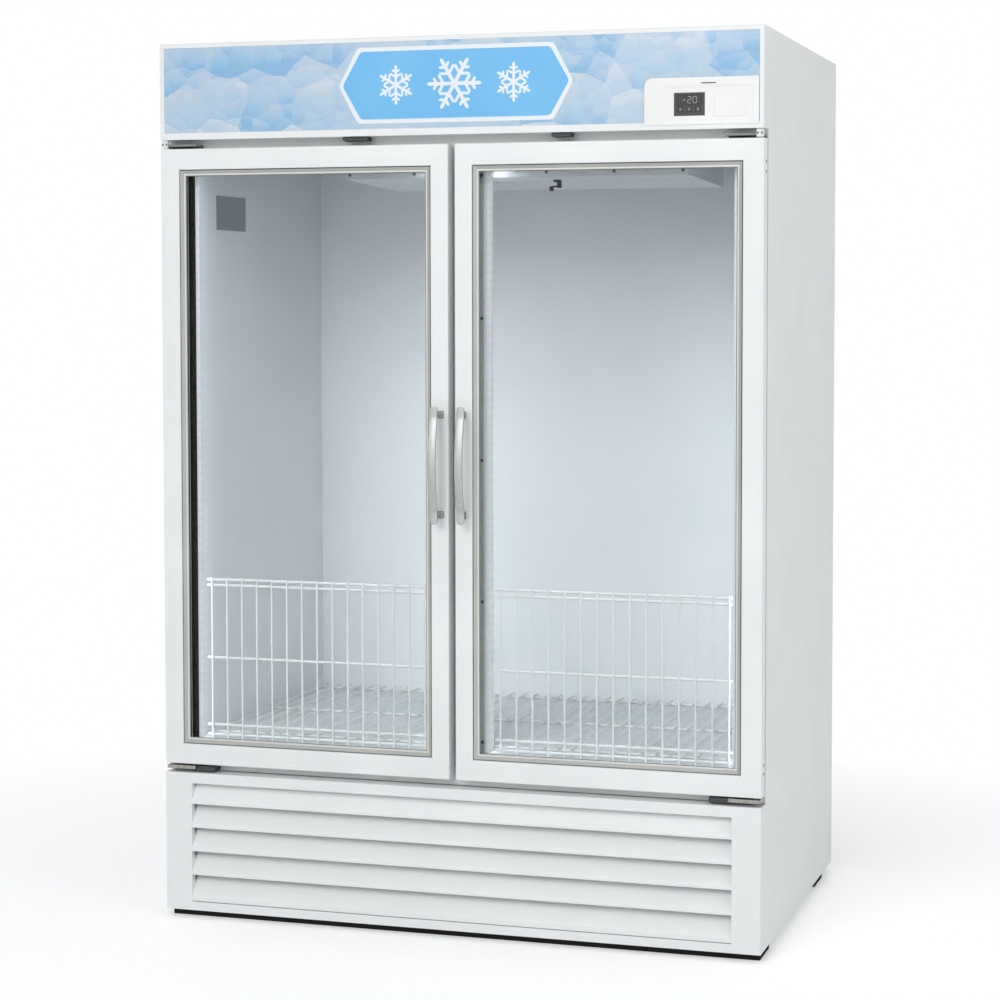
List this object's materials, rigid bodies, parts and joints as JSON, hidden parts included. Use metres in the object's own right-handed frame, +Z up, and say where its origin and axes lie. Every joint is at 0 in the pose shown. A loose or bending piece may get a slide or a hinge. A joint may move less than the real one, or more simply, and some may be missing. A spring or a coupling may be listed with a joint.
{
  "type": "ice merchandiser freezer",
  "caption": "White upright ice merchandiser with two hinged glass doors, a lit sign header with controller, and a louvred machine bay below the insulated cavity.",
  "frame": {"origin": "centre of the whole part's bounding box on the floor", "axes": "+Z up, the doors face -Y, +X to the right as seen from the front"},
  "size_m": [1.386, 0.928, 1.988],
  "materials": {
    "white_paint": "semi-gloss white powder coat",
    "liner_sheet": "satin white coated aluminium sheet",
    "galvanised": "galvanised sheet",
    "foam": "foamed insulation",
    "black_paint": "black powder coat",
    "mullion_cover": "satin extruded plastic",
    "sign": "translucent printed panel",
    "lamp_white": "translucent white",
    "bezel_plastic": "satin white plastic",
    "controller_dark": "dark gloss window",
    "key_plastic": "grey keys",
    "hinge_steel": "zinc-plated steel",
    "black_plastic": "black plastic",
    "coil_fins": "bare aluminium fins",
    "fan_plastic": "dark moulded plastic",
    "motor": "encased winding",
    "wire": "white dipped wire",
    "plate_grey": "bare grey plate",
    "compressor_shell": "black enamel",
    "copper": "copper tube",
    "zinc": "zinc-plated",
    "door_frame": "white powder coat",
    "glass": "clear glass",
    "spacer": "pale anodised",
    "bead": "satin grey",
    "gasket": "soft grey seal",
    "bush": "natural moulded plastic",
    "handle": "satin steel"
  },
  "bodies": {
    "cabinet": {"left_side_panel": "white_paint", "right_side_panel": "white_paint", "top_panel": "white_paint", "back_panel": "galvanised", "cabinet_face": "white_paint", "liner": "liner_sheet", "foam_insulation": "foam", "mullion": "mullion_cover", "base_pan": "galvanised", "base_rails": "black_paint", "front_panel": "white_paint", "louvre_slats": "white_paint", "rear_vent_cover": "galvanised", "header_frame": "white_paint", "sign_panel": "sign", "sign_lamp": "lamp_white", "controller_bezel": "bezel_plastic", "controller": "controller_dark", "blanking_cover": "bezel_plastic", "top_hinges": "hinge_steel", "bottom_hinges": "hinge_steel", "hinge_stops": "black_plastic", "lamp_housings": "black_plastic", "lamp_lenses": "lamp_white", "evaporator_cover": "liner_sheet", "evaporator_coil": "coil_fins", "fan_motors": "motor", "floor_racks": "wire", "wire_guards": "wire", "notice_plate": "plate_grey", "compressor": "compressor_shell", "condenser_coil": "coil_fins", "fan_shroud": "galvanised", "drain_pan": "galvanised", "control_box": "galvanised", "pipework": "copper", "supply_gland": "black_plastic", "screws": "zinc"},
    "left_door": {"left_door_frame": "door_frame", "left_door_glass": "glass", "left_door_spacers": "spacer", "left_door_bead": "bead", "left_door_gasket": "gasket", "left_door_bushes": "bush", "left_handle": "handle", "left_handle_feet": "zinc"},
    "right_door": {"right_door_frame": "door_frame", "right_door_glass": "glass", "right_door_spacers": "spacer", "right_door_bead": "bead", "right_door_gasket": "gasket", "right_door_bushes": "bush", "right_handle": "handle", "right_handle_feet": "zinc"},
    "left_evaporator_rotor": {"left_evaporator_fan": "fan_plastic"},
    "right_evaporator_rotor": {"right_evaporator_fan": "fan_plastic"},
    "condenser_rotor": {"condenser_fan": "fan_plastic"},
    "down_key": {"key_down": "key_plastic"},
    "up_key": {"key_up": "key_plastic"},
    "set_key": {"key_set": "key_plastic"}
  },
  "joints": [
    {"name": "left_door_swing", "type": "hinge", "parent": "cabinet", "child": "left_door", "pos_m": [-0.676, -0.398, 0.355], "axis": [0, 0, -1], "range_deg": [0, 110], "stiffness_Nm_per_rad": 1.5, "springref_deg": -20.05},
    {"name": "right_door_swing", "type": "hinge", "parent": "cabinet", "child": "right_door", "pos_m": [0.676, -0.398, 0.355], "axis": [0, 0, 1], "range_deg": [0, 110], "stiffness_Nm_per_rad": 1.5, "springref_deg": -20.05},
    {"name": "left_evaporator_fan_spin", "type": "hinge", "parent": "cabinet", "child": "left_evaporator_rotor", "pos_m": [-0.081, 0.024, 1.795], "axis": [0, 1, 0], "continuous": true},
    {"name": "right_evaporator_fan_spin", "type": "hinge", "parent": "cabinet", "child": "right_evaporator_rotor", "pos_m": [0.295, 0.024, 1.795], "axis": [0, 1, 0], "continuous": true},
    {"name": "condenser_fan_spin", "type": "hinge", "parent": "cabinet", "child": "condenser_rotor", "pos_m": [-0.23, -0.201, 0.172], "axis": [0, 1, 0], "continuous": true},
    {"name": "down_key_press", "type": "slide", "parent": "cabinet", "child": "down_key", "axis": [0, 1, 0], "range_m": [0, 0.0008], "stiffness_N_per_m": 300},
    {"name": "up_key_press", "type": "slide", "parent": "cabinet", "child": "up_key", "axis": [0, 1, 0], "range_m": [0, 0.0008], "stiffness_N_per_m": 300},
    {"name": "set_key_press", "type": "slide", "parent": "cabinet", "child": "set_key", "axis": [0, 1, 0], "range_m": [0, 0.0008], "stiffness_N_per_m": 300}
  ]
}
